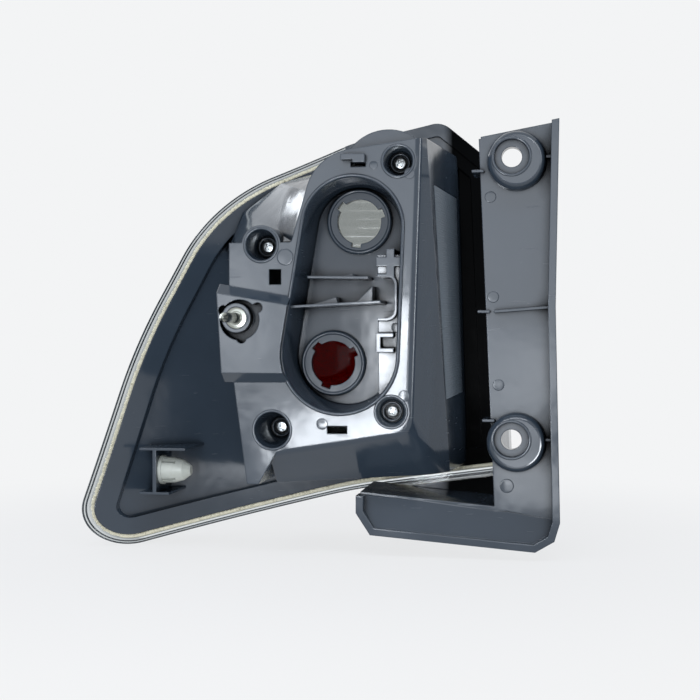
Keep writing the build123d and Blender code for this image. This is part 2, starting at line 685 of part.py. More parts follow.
def arm_plate():
    """Sloping plate of the lower arm, hinged about the line where it leaves the upright face."""
    end = Vector(BRACKET_END_TOP[0], 0, BRACKET_END_TOP[1])
    foot = Vector(BRACKET_RIGHT_FOOT[0], 0, BRACKET_RIGHT_FOOT[1])
    along = (foot - end).normalized()
    down = Vector(0, -sin(radians(ARM_TILT)), -cos(radians(ARM_TILT)))
    hinge = Plane((end + foot) / 2 + Vector(0, BRACKET_Y, 0), x_dir=along, z_dir=along.cross(down))
    return hinge * Pos(0, 0, BRACKET_T / 2) * Box(CUT_SIZE, CUT_SIZE, BRACKET_T)


def bolt_boss(z):
    """Shouldered boss, set off centre from the bolt hole that it carries."""
    profile = polygon([
        (0, BRACKET_Y),
        (BOSS_R, BRACKET_Y),
        (BOSS_R - BOSS_ROUND / 4, 0),
        (BOSS_R - BOSS_ROUND, -BOSS_RISE),
        (0, -BOSS_RISE),
    ])
    x, drop = BOSS_OFFSET
    return revolve(Pos(x, 0, z + drop) * profile, Axis((x, 0, z + drop), (0, 1, 0)), 360)


def make_mounting_bracket():
    """L-shaped tray with two bolt bosses and a deep inner wall bonded to the lens skirt."""
    mid_wall = BRACKET_T / 2
    near_top, near_corner, side = inner_edge()
    top_left = (near_top.X + mid_wall, near_top.Y)
    inner_corner = (near_corner.X + mid_wall, near_corner.Y - mid_wall)
    edge = [
        BRACKET_TOP_RIGHT,
        BRACKET_RIGHT_WAIST,
        BRACKET_RIGHT_FOOT,
        BRACKET_CORNER,
        BRACKET_BOTTOM_RIGHT,
        BRACKET_BOTTOM_LEFT,
        BRACKET_END,
        (BRACKET_END_TOP[0], BRACKET_END_TOP[1] - mid_wall),
    ]
    outline = polygon([top_left, *edge, inner_corner])
    face = polygon([top_left, *edge[:3], inner_corner])
    back = BRACKET_Y + BRACKET_T
    tray = prism(outline, LIP_Y, back)
    bracket = prism(face, BRACKET_Y, back) + (arm_plate() & tray)
    for wall in bracket_walls():
        bracket += wall
    for ends in zip(edge, edge[1:]):
        bracket += plate_along(ends, 2 * BRACKET_LIP_W, LIP_Y, back, BRACKET_LIP_W) & tray
    rib = [
        (near_corner.X, BRACKET_RIB_Z),
        (BRACKET_TOP_RIGHT[0], BRACKET_RIB_Z + BRACKET_RIB_RISE),
    ]
    bracket += plate_along(rib, BRACKET_RIB_T, BRACKET_Y - BRACKET_RIB_H, BRACKET_Y) & tray
    for z in GAP_RIB_Z:
        x = near_top.X + (z - near_top.Y) / side.Y * side.X
        bracket += plate_along([(x - GAP_RIB_W, z), (x + BRACKET_T, z)], BRACKET_RIB_T, *GAP_RIB_Y)
    for z in (BOLT_SPACING / 2, -BOLT_SPACING / 2):
        bracket += bolt_boss(z)
        stay = [(0, z), (BRACKET_TOP_RIGHT[0], z)]
        bracket += plate_along(stay, BRACKET_RIB_T, BRACKET_Y - BRACKET_RIB_H, BRACKET_Y) & tray
        bracket -= disc((0, z), BOLT_SEAT_R, -2 * BOSS_RISE, 0)
        bracket -= disc((0, z), BOLT_HOLE_R, -2 * BOSS_RISE, 2 * back)
    return bracket


def make_locating_stud():
    """Flanged stud with a slightly pointed tip."""
    near = PLATEAU_Y - PLINTH_LIFT
    stud = disc(STUD, STUD_FLANGE_R, near, near + STUD_FLANGE_T)
    shank = disc(STUD, STUD_R, near - STUD_L, near)
    tip = shank.edges().filter_by(GeomType.CIRCLE).sort_by(Axis.Y)[0]
    return stud + chamfer(tip, STUD_TIP)


def make_retainer_clip():
    """Nylon push clip: head and neck in the tower, collar, and a slotted bullet nose."""
    start = -TOWER_T - CLIP_HEAD_T
    foot = [
        (0, CLIP_COLLAR_T + CLIP_BODY_L),
        (0, start),
        (CLIP_HEAD_R, start),
        (CLIP_HEAD_R, -TOWER_T),
        (CLIP_NECK_R, -TOWER_T),
        (CLIP_NECK_R, 0),
        (CLIP_COLLAR_R, 0),
        (CLIP_COLLAR_R, CLIP_COLLAR_T),
    ]
    nose = [(CLIP_BODY_R * wide, CLIP_COLLAR_T + CLIP_BODY_L * along) for wide, along in CLIP_NOSE]
    turned = revolve(polygon(foot + nose), Axis.Y, 360)
    slot = Box(2 * CLIP_BODY_R, CLIP_BODY_L / 2, CLIP_SLOT_W)
    slot = Pos(CLIP_NECK_R + CLIP_BODY_R, CLIP_COLLAR_T + CLIP_BODY_L / 4, 0) * slot
    for angle in (45, 135, 225, 315):
        turned -= Rot(0, angle, 0) * slot
    return Pos(CLIP_X, CLIP_Y, CLIP_Z) * Rot(0, 0, -90) * turned


def make_housing_screws():
    """Four pan-head screws, each on the seat of its pocket."""
    screws = []
    for name, (x, z, _, _) in SCREWS.items():
        floor = pocket_floor(name)
        shank = disc((x, z), SCREW_R, floor, floor + SCREW_L)
        head = disc((x, z), SCREW_HEAD_R, floor - SCREW_HEAD_H, floor)
        screws.append((shank + head).solid())
    return Compound(screws)


PIECES = {
    "housing": make_housing,
    "outer_lens": make_outer_lens,
    "lens_sealant": make_lens_sealant,
    "reflector_bezel": make_reflector_bezel,
    "stop_inner_lens": lambda: inner_lens(LOWER_BULB, LOWER_MOUTH_R),
    "signal_inner_lens": make_signal_inner_lens,
    "mounting_bracket": make_mounting_bracket,
    "locating_stud": make_locating_stud,
    "retainer_clip": make_retainer_clip,
    "housing_screws": make_housing_screws,
}

os.makedirs("parts", exist_ok=True)
for piece, make in PIECES.items():
    export_step(make(), f"parts/{piece}.step")
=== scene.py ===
"""Tail lamp cluster dressed for the studio: moulded plastic, acrylic, plated steel and nylon.

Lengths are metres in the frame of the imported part. Sizes of the lamp's own shapes are in
millimetres, as in the part's source, and surface brings them into the frame.
"""
import math

import bmesh
import bpy
import numpy as np
from bpy.props import FloatProperty, FloatVectorProperty, PointerProperty
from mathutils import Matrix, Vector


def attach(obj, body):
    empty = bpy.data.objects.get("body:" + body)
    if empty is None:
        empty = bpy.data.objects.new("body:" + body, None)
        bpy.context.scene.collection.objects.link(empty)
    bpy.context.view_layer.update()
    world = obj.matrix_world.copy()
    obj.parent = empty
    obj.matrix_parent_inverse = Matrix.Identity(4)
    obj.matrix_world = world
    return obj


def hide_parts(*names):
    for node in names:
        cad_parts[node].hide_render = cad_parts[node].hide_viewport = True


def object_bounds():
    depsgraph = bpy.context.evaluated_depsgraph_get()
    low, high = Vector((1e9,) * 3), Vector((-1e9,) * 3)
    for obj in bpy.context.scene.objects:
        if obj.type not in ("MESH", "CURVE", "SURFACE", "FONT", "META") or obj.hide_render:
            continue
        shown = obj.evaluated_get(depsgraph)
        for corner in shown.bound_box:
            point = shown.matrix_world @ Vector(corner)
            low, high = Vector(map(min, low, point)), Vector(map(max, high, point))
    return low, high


bl_info = {
    "name": "Tail lamp cluster",
    "version": (1, 0, 0),
    "blender": (4, 5, 0),
    "location": "View3D > Sidebar > Tail lamp",
    "description": "Dresses the packed tail lamp with its finishes, small parts and studio",
    "category": "Object",
}

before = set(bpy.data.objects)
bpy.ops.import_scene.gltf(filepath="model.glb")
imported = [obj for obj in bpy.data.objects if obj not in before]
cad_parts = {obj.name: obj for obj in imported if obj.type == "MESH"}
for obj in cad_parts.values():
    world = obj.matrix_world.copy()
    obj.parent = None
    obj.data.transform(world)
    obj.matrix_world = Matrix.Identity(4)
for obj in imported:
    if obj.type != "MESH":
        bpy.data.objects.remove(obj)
CAD_BOX = [list(corner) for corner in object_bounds()]
MM = 0.001

# Lit face and outline of the lamp, in millimetres: corner places and radii, clockwise from bottom left
REAR_Y = 108.0
WRAP_START_X = -60.0
WRAP_R = 314.0
LENS_CORNERS = np.array([
    (-287.3, -170.9, 26.0),
    (-249.6, -27.4, 400.0),
    (-205.5, 69.4, 115.0),
    (-113.7, 111.1, 100.0),
    (-51.2, 125.2, 14.0),
    (-14.4, 94.6, 8.0),
    (-5.3, -115.7, 10.0),
    (-112.7, -130.7, 400.0),
])

# Free edge of the lens skirt, in millimetres: its depth, and the insets and radius of its two rounded edges
SKIRT_DEPTH = 20.0
SKIRT_EDGES = (0.45, 2.0)
SKIRT_EDGE_R = 0.42

# Bezel's face, in millimetres: its depth, the place and radius of the trim ring round each inner lens,
# and half the width and the height of the ring's section
BEZEL_DEPTH = 9.0
TRIM_RINGS = [(-97.4, 50.1, 42.2), (-114.4, -40.7, 50.2)]
TRIM_HALF_W = 2.1
TRIM_RISE = 4.6

# Directions of a turned piece that faces the fixing side: across, out and up
FACING = np.array([(1.0, 0.0, 0.0), (0.0, -1.0, 0.0), (0.0, 0.0, 1.0)])

# Zones of the plastic, in millimetres: depth and inboard edge of the painted shade deep in the gap beside the
# bracket, depths where the bulb bay's dull floor starts and ends, the bay's middle and half width, and the
# reach of the painted shade in a nook
GAP_DEPTH = (10, 45)
GAP_EDGE = (-50, -44)
BAY_START = (2, 10)
BAY_END = (30, 22)
BAY_MIDDLE_X = -105
BAY_HALF_W = 45
NOOK_REACH = 12

# Specular level of a polished skin, of the bay's floor and of the painted shade, where 0.5 is the plastic's
# own gloss
POLISHED = 0.5
SATIN = 0.26
PAINTED_SHADE_SPECULAR = 0.01

# Radius, in millimetres, of the edges of small details
FINE_EDGE_R = 0.1

# Width, in millimetres, of the faint patches in each bright metal
CHROME_PATCH = 30
BEZEL_PATCH = 20
PLATE_PATCH = 3


def linear(hex_colour):
    """Linear RGBA of an sRGB hex colour, by the standard's two-part curve."""
    srgb = np.array([int(hex_colour[i : i + 2], 16) for i in (1, 3, 5)]) / 255
    colour = np.where(srgb <= 0.04045, srgb / 12.92, ((srgb + 0.055) / 1.055) ** 2.4)
    return (*colour.tolist(), 1.0)


def shade(colour, factor):
    """A colour made darker or lighter by a factor."""
    return (*(factor * channel for channel in colour[:3]), 1.0)


def colour_property(label, description, hex_colour):
    """Colour field whose default is an sRGB hex value."""
    return FloatVectorProperty(
        name=label,
        description=description,
        subtype="COLOR",
        size=4,
        min=0.0,
        max=1.0,
        default=linear(hex_colour),
    )


def length_property(label, description, size_mm):
    """Length field whose default is given in millimetres."""
    return FloatProperty(
        name=label,
        description=description,
        unit="LENGTH",
        precision=5,
        default=size_mm * MM,
    )


def share_property(label, description, share):
    """Field from 0 to 1, such as a roughness."""
    return FloatProperty(
        name=label,
        description=description,
        subtype="FACTOR",
        precision=3,
        min=0.0,
        max=1.0,
        default=share,
    )


class MouldingSettings(bpy.types.PropertyGroup):
    """Finish and small shapes of the housing and the bracket."""

    colour: colour_property("Plastic", "Colour of the moulded plastic", "#2a333d")
    roughness: share_property("Roughness", "Mean roughness of the moulded skin", 0.15)
    edge_radius: length_property("Edge radius", "Radius of the moulded edges", 0.9)
    mark_height: length_property("Mark height", "Height of the round ejector marks", 0.22)
    collar_height: length_property("Collar height", "Height of the lips round the bulb seats", 0.9)
    # Painted light: the ribbed patch's plastic is a lighter copy of the housing's, so the patch reads lit on
    # the side wall
    rib_painted_light_colour: colour_property("Ribbed plastic", "Colour of the ribbed patch", "#525c65")
    rib_roughness: share_property("Rib roughness", "Mean roughness of the ribbed patch", 0.45)
    rib_pitch: length_property("Rib pitch", "Spacing of the fine ribs on the side wall", 1.6)
    rib_height: length_property("Rib height", "Height of the fine ribs on the side wall", 0.35)


class LensSettings(bpy.types.PropertyGroup):
    """Finish of the lenses and the bezel."""

    clear: colour_property("Clear acrylic", "Tint of the clear mouldings", "#f6f8f8")
    edge: colour_property("Edge tint", "Tint of clear acrylic seen along its wall", "#7b838b")
    fluted: colour_property("Fluted acrylic", "Tint of the fluted inner lens", "#a3a5a3")
    red: colour_property("Red acrylic", "Tint of the stop lens", "#780505")
    red_body: colour_property("Red body", "Colour of the stop lens from the lit side", "#9c0d0d")
    metal: colour_property("Metallised skin", "Colour of the bezel's metal film", "#c9cdcb")
    chrome: colour_property("Trim", "Colour of the trim rings round the inner lenses", "#e4e7e8")
    clear_shine: share_property("Clear shine", "Light that clear acrylic mirrors when seen square on", 0.04)
    red_shine: share_property("Red shine", "Light that the stop lens mirrors when seen square on", 0.004)
    fluted_roughness: share_property("Fluted roughness", "Roughness of the fluted inner lens", 0.06)
    metal_roughness: share_property("Film roughness", "Roughness of the bezel's metal film", 0.14)
    chrome_roughness: share_property("Trim roughness", "Roughness of the trim rings", 0.06)


class BeadSettings(bpy.types.PropertyGroup):
    """Hot-melt bead between the outer lens and the housing."""

    colour: colour_property("Hot melt", "Colour of the bead", "#d9d4bd")
    speck: colour_property("Specks", "Colour of the dirt caught in the bead", "#6e6650")
    inset: length_property("Inset", "Distance from the lamp's outline to the middle of the bead", 5.1)
    width: length_property("Width", "Width of the bead", 3.1)
    height: length_property("Height", "Height of the bead", 8.9)
    depth: length_property("Depth", "Depth of the bead's top under the skin of the lit face", 18.9)
    lump: length_property("Lumps", "Height of the lumps along the bead", 0.45)


class HardwareSettings(bpy.types.PropertyGroup):
    """Finish of the stud, the screws and the push clip."""

    zinc: colour_property("Zinc plate", "Colour of the plated stud", "#9a9d97")
    steel: colour_property("Screw steel", "Colour of the screws", "#a7abad")
    nylon: colour_property("Nylon", "Colour of the push clip", "#a6aaa4")
    zinc_roughness: share_property("Zinc roughness", "Roughness of the plated stud", 0.22)
    steel_roughness: share_property("Screw roughness", "Roughness of the screws", 0.28)
    recess: length_property("Recess depth", "Depth of the cross in each screw head", 1.3)


class StageSettings(bpy.types.PropertyGroup):
    """Camera and studio light."""

    camera_place: FloatVectorProperty(
        name="Camera",
        description="Place of the camera",
        subtype="TRANSLATION",
        unit="LENGTH",
        default=(0.0297, -0.7802, -0.0227),
    )
    camera_turn: FloatVectorProperty(
        name="Camera angle",
        description="Turn of the camera about X, Y and Z",
        subtype="EULER",
        unit="ROTATION",
        default=(math.radians(89.32), 0.0, math.radians(9.54)),
    )
    focal_mm: FloatProperty(
        name="Focal length",
        description="Focal length on a 36 mm sensor, in millimetres",
        default=64.3,
    )
    paper: colour_property("Backdrop", "Colour of the white sweep", "#f3f4f5")
    light: colour_property("Light", "Colour of the softboxes", "#eef4fb")


def add(tree, kind, inputs=None, **settings):
    """Adds a shader node, sets its fields and fills each socket with a value or another node's output."""
    made = tree.nodes.new("ShaderNode" + kind)
    for field, value in settings.items():
        setattr(made, field, value)
    for socket, value in (inputs or {}).items():
        if isinstance(value, bpy.types.NodeSocket):
            tree.links.new(value, made.inputs[socket])
        else:
            made.inputs[socket].default_value = value
    return made


def new_material(name):
    """Empty node material and its tree, with Object coordinates."""
    material = bpy.data.materials.new(name)
    material.use_nodes = True
    tree = material.node_tree
    tree.nodes.clear()
    place = add(tree, "TexCoord").outputs["Object"]
    return material, tree, place


def close_material(tree, shader):
    """Links a shader to the material's surface."""
    add(tree, "OutputMaterial", {"Surface": shader.outputs[0]})


def per_mm(size_mm):
    """Scale of a pattern in metres whose features are about so many millimetres wide."""
    return 1.0 / (size_mm * MM)


def moulded_abs(name, colour, roughness, edge_radius):
    """ABS, injection moulded in a polished tool: a soft gloss with faint flow marks, dust and scuffs.

    Its edges take the light as round ones do. The floor of the bulb bay is satin. Shade is painted in narrow
    nooks and deep in the gap beside the bracket, where the plastic is made near black and dull.
    """
    material, tree, place = new_material(name)
    flow = add(tree, "TexNoise", {"Vector": place, "Scale": per_mm(45), "Detail": 3.0})
    grain = add(tree, "TexNoise", {"Vector": place, "Scale": per_mm(0.9), "Detail": 2.0})
    dust = add(tree, "TexNoise", {"Vector": place, "Scale": per_mm(3.5), "Detail": 6.0, "Roughness": 0.7})
    long_way = add(tree, "Mapping", {"Vector": place, "Rotation": (0.0, 0.6, 0.0), "Scale": (1.0, 1.0, 14.0)})
    scuff = add(tree, "TexNoise", {"Vector": long_way.outputs[0], "Scale": per_mm(22), "Detail": 4.0})
    marks = add(
        tree,
        "MapRange",
        {"Value": scuff.outputs["Fac"], "From Min": 0.66, "From Max": 0.74},
        interpolation_type="SMOOTHSTEP",
    )
    specks = add(tree, "MapRange", {"Value": dust.outputs["Fac"], "From Min": 0.7, "From Max": 0.85})
    base = add(
        tree,
        "MixRGB",
        {"Fac": flow.outputs["Fac"], "Color1": shade(colour, 0.86), "Color2": shade(colour, 1.14)},
    )
    dusty = add(
        tree,
        "MixRGB",
        {"Fac": specks.outputs[0], "Color1": base.outputs[0], "Color2": linear("#6a727b")},
    )
    rough = add(
        tree,
        "MapRange",
        {"Value": flow.outputs["Fac"], "From Min": 0.3, "From Max": 0.7,
         "To Min": roughness - 0.05, "To Max": roughness + 0.05},
    )
    scuffed = add(
        tree,
        "Math",
        {0: marks.outputs[0], 1: 0.16, 2: rough.outputs[0]},
        operation="MULTIPLY_ADD",
    )
    edges = add(tree, "Bevel", {"Radius": edge_radius}, samples=6)
    ripple = add(
        tree,
        "Bump",
        {"Height": flow.outputs["Fac"], "Strength": 0.7, "Distance": 1.0 * MM, "Normal": edges.outputs[0]},
    )
    skin = add(
        tree,
        "Bump",
        {"Height": grain.outputs["Fac"], "Strength": 0.06, "Distance": 0.05 * MM,
         "Normal": ripple.outputs[0]},
    )
    axes = add(tree, "SeparateXYZ", {0: place})
    depth, across = axes.outputs["Y"], axes.outputs["X"]
    facing = add(tree, "SeparateXYZ", {0: add(tree, "NewGeometry").outputs["True Normal"]})
    # Painted shade: deep in the gap beside the bracket, on faces turned to the fixing side, the plastic is
    # made near black and dull
    deep = add(
        tree,
        "MapRange",
        {"Value": depth, "From Min": GAP_DEPTH[0] * MM, "From Max": GAP_DEPTH[1] * MM},
        interpolation_type="SMOOTHSTEP",
    )
    inboard = add(
        tree,
        "MapRange",
        {"Value": across, "From Min": GAP_EDGE[0] * MM, "From Max": GAP_EDGE[1] * MM},
    )
    hidden = add(tree, "MapRange", {"Value": facing.outputs["Y"], "From Min": -0.4, "From Max": -0.7})
    gap = add(tree, "Math", {0: deep.outputs[0], 1: inboard.outputs[0]}, operation="MULTIPLY")
    floor = add(tree, "Math", {0: gap.outputs[0], 1: hidden.outputs[0]}, operation="MULTIPLY")
    # Painted shade in narrow nooks: darker the more closely other surfaces stand round a point
    corner = add(tree, "AmbientOcclusion", {"Distance": NOOK_REACH * MM}, samples=8)
    nook = add(tree, "MapRange", {"Value": corner.outputs["AO"], "From Min": 0.72, "From Max": 0.28})
    shaded = add(tree, "Math", {0: floor.outputs[0], 1: nook.outputs[0]}, operation="MAXIMUM")
    # The dusty colour, taken to near black where shade is painted
    dust_and_painted_shade = add(
        tree,
        "MixRGB",
        {"Fac": shaded.outputs[0], "Color1": dusty.outputs[0], "Color2": shade(colour, 0.02)},
    )
    bay_start, bay_end = (
        add(tree, "MapRange", {"Value": depth, "From Min": out * MM, "From Max": into * MM})
        for out, into in (BAY_START, BAY_END)
    )
    bay_width = add(tree, "Math", {0: across, 1: BAY_MIDDLE_X * MM, 2: BAY_HALF_W * MM}, operation="COMPARE")
    bay_depth = add(tree, "Math", {0: bay_start.outputs[0], 1: bay_end.outputs[0]}, operation="MULTIPLY")
    bay_floor = add(tree, "Math", {0: bay_depth.outputs[0], 1: bay_width.outputs[0]}, operation="MULTIPLY")
    polish = add(tree, "MapRange", {"Value": bay_floor.outputs[0], "To Min": POLISHED, "To Max": SATIN})
    # Gloss taken down to almost none where shade is painted
    gloss = add(
        tree,
        "MapRange",
        {"Value": shaded.outputs[0], "To Min": polish.outputs[0], "To Max": PAINTED_SHADE_SPECULAR},
    )
    shader = add(
        tree,
        "BsdfPrincipled",
        {"Base Color": dust_and_painted_shade.outputs[0], "Roughness": scuffed.outputs[0], "IOR": 1.53,
         "Specular IOR Level": gloss.outputs[0], "Normal": skin.outputs[0]},
    )
    close_material(tree, shader)
    return material


def clear_wall(name, tint, edge_tint, gloss, body=None):
    """Acrylic, moulded as a thin polished wall: clear square on, grey along the wall, a mirror at a glance.

    A body colour is seen on its lit side, where dyed acrylic sends some light back.
    """
    material, tree, place = new_material(name)
    peel = add(tree, "TexNoise", {"Vector": place, "Scale": per_mm(9), "Detail": 2.0})
    bump = add(tree, "Bump", {"Height": peel.outputs["Fac"], "Strength": 0.1, "Distance": 0.1 * MM})
    haze = add(tree, "MapRange", {"Value": peel.outputs["Fac"], "To Min": 0.02, "To Max": 0.07})
    turn = add(tree, "LayerWeight", {"Blend": 0.5})
    along = add(tree, "MapRange", {"Value": turn.outputs["Facing"], "From Min": 0.55, "From Max": 0.98})
    colour = add(tree, "MixRGB", {"Fac": along.outputs[0], "Color1": tint, "Color2": edge_tint})
    through = add(tree, "BsdfTransparent", {"Color": colour.outputs[0]})
    mirror = add(tree, "BsdfGlossy", {"Roughness": haze.outputs[0], "Normal": bump.outputs[0]})
    glance = add(tree, "Math", {0: turn.outputs["Facing"], 1: 5.0}, operation="POWER")
    shine = add(tree, "Math", {0: glance.outputs[0], 1: 0.5, 2: gloss}, operation="MULTIPLY_ADD")
    shader = add(tree, "MixShader", {0: shine.outputs[0], 1: through.outputs[0], 2: mirror.outputs[0]})
    if body:
        facing = add(tree, "SeparateXYZ", {0: add(tree, "NewGeometry").outputs["True Normal"]})
        lit_side = add(
            tree,
            "MapRange",
            {"Value": facing.outputs["Y"], "From Min": 0.2, "From Max": 0.5, "To Max": 0.7},
        )
        skin = add(
            tree,
            "BsdfPrincipled",
            {"Base Color": body, "Roughness": haze.outputs[0], "IOR": 1.49, "Normal": bump.outputs[0]},
        )
        shader = add(tree, "MixShader", {0: lit_side.outputs[0], 1: shader.outputs[0], 2: skin.outputs[0]})
    close_material(tree, shader)
    return material


def moulded_acrylic(name, tint, roughness):
    """Acrylic, injection moulded in an optic tool: it bends what lies behind it, with a faint orange peel."""
    material, tree, place = new_material(name)
    peel = add(tree, "TexNoise", {"Vector": place, "Scale": per_mm(9), "Detail": 2.0})
    haze = add(
        tree,
        "MapRange",
        {"Value": peel.outputs["Fac"], "To Min": 0.5 * roughness, "To Max": 1.5 * roughness},
    )
    bump = add(tree, "Bump", {"Height": peel.outputs["Fac"], "Strength": 0.1, "Distance": 0.1 * MM})
    shader = add(
        tree,
        "BsdfPrincipled",
        {"Base Color": tint, "Roughness": haze.outputs[0], "IOR": 1.49,
         "Transmission Weight": 1.0, "Normal": bump.outputs[0]},
    )
    close_material(tree, shader)
    return material


def hot_melt(name, colour, speck):
    """Butyl hot melt, run in as a bead: cream, a little greasy, with dirt caught in it."""
    material, tree, place = new_material(name)
    smear = add(tree, "TexNoise", {"Vector": place, "Scale": per_mm(7), "Detail": 5.0})
    dirt = add(tree, "TexNoise", {"Vector": place, "Scale": per_mm(1.3), "Detail": 4.0, "Roughness": 0.7})
    caught = add(tree, "MapRange", {"Value": dirt.outputs["Fac"], "From Min": 0.56, "From Max": 0.72})
    base = add(
        tree,
        "MixRGB",
        {"Fac": smear.outputs["Fac"], "Color1": shade(colour, 0.8), "Color2": colour},
    )
    dirty = add(tree, "MixRGB", {"Fac": caught.outputs[0], "Color1": base.outputs[0], "Color2": speck})
    bump = add(tree, "Bump", {"Height": dirt.outputs["Fac"], "Strength": 0.4, "Distance": 0.4 * MM})
    shader = add(
        tree,
        "BsdfPrincipled",
        {"Base Color": dirty.outputs[0], "Roughness": 0.45, "Normal": bump.outputs[0]},
    )
    close_material(tree, shader)
    return material


def metal_film(name, colour, roughness, patch_mm):
    """Bright metal, plated or metallised: a clean mirror broken by faint patches and fine grain."""
    material, tree, place = new_material(name)
    patch = add(tree, "TexNoise", {"Vector": place, "Scale": per_mm(patch_mm), "Detail": 4.0})
    base = add(
        tree,
        "MixRGB",
        {"Fac": patch.outputs["Fac"], "Color1": shade(colour, 0.8), "Color2": colour},
    )
    rough = add(
        tree,
        "MapRange",
        {"Value": patch.outputs["Fac"], "To Min": 0.6 * roughness, "To Max": 1.4 * roughness},
    )
    grain = add(tree, "TexNoise", {"Vector": place, "Scale": per_mm(0.4)})
    bump = add(tree, "Bump", {"Height": grain.outputs["Fac"], "Strength": 0.05, "Distance": 0.05 * MM})
    shader = add(
        tree,
        "BsdfPrincipled",
        {"Base Color": base.outputs[0], "Metallic": 1.0, "Roughness": rough.outputs[0],
         "Normal": bump.outputs[0]},
    )
    close_material(tree, shader)
    return material


def natural_nylon(name, colour):
    """Nylon, injection moulded without pigment: milky and a little waxy."""
    material, tree, place = new_material(name)
    cloud = add(tree, "TexNoise", {"Vector": place, "Scale": per_mm(4), "Detail": 3.0})
    base = add(
        tree,
        "MixRGB",
        {"Fac": cloud.outputs["Fac"], "Color1": shade(colour, 0.86), "Color2": colour},
    )
    bump = add(tree, "Bump", {"Height": cloud.outputs["Fac"], "Strength": 0.15, "Distance": 0.2 * MM})
    shader = add(
        tree,
        "BsdfPrincipled",
        {"Base Color": base.outputs[0], "Roughness": 0.42, "IOR": 1.53, "Subsurface Weight": 0.25,
         "Subsurface Radius": (1.6 * MM, 1.5 * MM, 1.3 * MM), "Subsurface Scale": 1.0,
         "Normal": bump.outputs[0]},
    )
    close_material(tree, shader)
    return material


def finish_node(name, material):
    """Gives a CAD node its one material."""
    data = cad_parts[name].data
    data.materials.clear()
    data.materials.append(material)


def round_edges(name, radius):
    """Joins a node's loose triangles, clears its flat faces of needless edges and rounds its sharp edges."""
    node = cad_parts[name]
    joined = node.modifiers.new("joined", "WELD")
    joined.merge_threshold = 0.002 * MM
    flat = node.modifiers.new("flat faces", "DECIMATE")
    flat.decimate_type = "DISSOLVE"
    flat.angle_limit = math.radians(0.05)
    rounded = node.modifiers.new("rounded edges", "BEVEL")
    rounded.width = radius
    rounded.segments = 2
    rounded.limit_method = "ANGLE"
    rounded.angle_limit = math.radians(28)
    rounded.use_clamp_overlap = True
    rounded.harden_normals = True
    shaded = node.modifiers.new("even shading", "WEIGHTED_NORMAL")
    shaded.keep_sharp = True


def surface(name, points, material, wrap_rows=False, wrap_columns=False):
    """Piece from grids of points in millimetres, shaped (copies, rows, columns, 3).

    Each grid's neighbouring points make its faces, and its last row or column can be joined to its first.
    Points that fall together, at poles and seams, are welded, and the faces turned outwards.
    """
    copies, rows, columns, _ = points.shape
    down, across = np.meshgrid(
        np.arange(rows if wrap_rows else rows - 1),
        np.arange(columns if wrap_columns else columns - 1),
        indexing="ij",
    )
    below, beside = (down + 1) % rows, (across + 1) % columns
    corners = np.stack(
        [
            down * columns + across,
            down * columns + beside,
            below * columns + beside,
            below * columns + across,
        ],
        axis=-1,
    ).reshape(1, -1, 4)
    faces = corners + np.arange(copies).reshape(-1, 1, 1) * rows * columns
    mesh = bpy.data.meshes.new(name)
    mesh.from_pydata((points.reshape(-1, 3) * MM).tolist(), [], faces.reshape(-1, 4).tolist())
    shell = bmesh.new()
    shell.from_mesh(mesh)
    bmesh.ops.remove_doubles(shell, verts=shell.verts, dist=0.001 * MM)
    bmesh.ops.recalc_face_normals(shell, faces=shell.faces)
    shell.to_mesh(mesh)
    shell.free()
    mesh.materials.append(material)
    mesh.shade_smooth()
    mesh.set_sharp_from_angle(angle=math.radians(40))
    piece = bpy.data.objects.new(name, mesh)
    bpy.context.scene.collection.objects.link(piece)
    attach(piece, "root")
    return piece


def turned(radius, height, centre, turns=48):
    """Radius and height pairs swept round an axis.

    A point is centre + r cos(t) across + h out + r sin(t) up, with FACING giving across, out and up.
    Radius and height may differ from one angle t to the next.
    """
    angle = np.linspace(0, 2 * np.pi, turns, endpoint=False)
    radius = np.broadcast_to(radius, (radius.shape[0], turns))
    height = np.broadcast_to(height, (height.shape[0], turns))
    spread = np.stack([radius * np.cos(angle), height, radius * np.sin(angle)], axis=-1)
    return np.asarray(centre) + spread @ FACING


def profile(pairs):
    """Columns of radii and heights from a list of pairs."""
    return np.array(pairs).T[:, :, None]


# Flat round marks that the ejector pins leave, in millimetres: place and radius on each flat face
HOUSING_MARKS = [
    ((-139.9, -16.0, 26.1), 5.3),
    ((-70.4, -8.1, -17.6), 3.6),
    ((-65.0, -16.0, -60.2), 3.6),
    ((-116.4, -16.0, -78.0), 3.6),
    ((-61.6, -16.0, 76.6), 3.4),
    ((-84.0, -16.0, 82.2), 2.6),
]
BRACKET_MARKS = [
    ((-13.4, 6.0, 63.7), 3.6),
    ((-11.6, 6.0, 1.2), 3.6),
    ((-8.2, 6.0, -53.9), 3.6),
    ((-3.0, 6.0, -117.0), 4.4),
]
MARK_PROFILE = np.array([(0.0, 1.0), (0.86, 1.0), (0.95, 0.8), (1.0, 0.0), (0.95, -0.4), (0.0, -0.4)])

# Bulb seats: centre of the raised ring, in millimetres, and the lip round its edge
BULB_SEATS = [(-97.4, 12.0, 50.1), (-114.4, 12.0, -40.7)]
COLLAR_R = 19.6
COLLAR_HALF_W = 1.2

# Corners of the ribbed patch on the side wall, from its near top corner, and the wall's outward way
RIB_CORNERS = np.array([
    (-49.08, 9.0, 72.2),
    (-40.83, 80.0, 71.1),
    (-36.66, 80.0, -61.9),
    (-42.83, 26.0, -64.4),
])
RIB_WALL = np.array([0.9929, -0.1149, 0.0312])
RIB_SINK = 0.15

# Bulb bay's raised lip, in millimetres: centres and radii of its two round ends, and its section
PLATEAU_Y = -16.0
BAY_ENDS = [((-97.5, 44.3), 31.8), ((-105.6, -35.0), 36.8)]
LIP_HALF_W = 1.15
LIP_H = 1.7

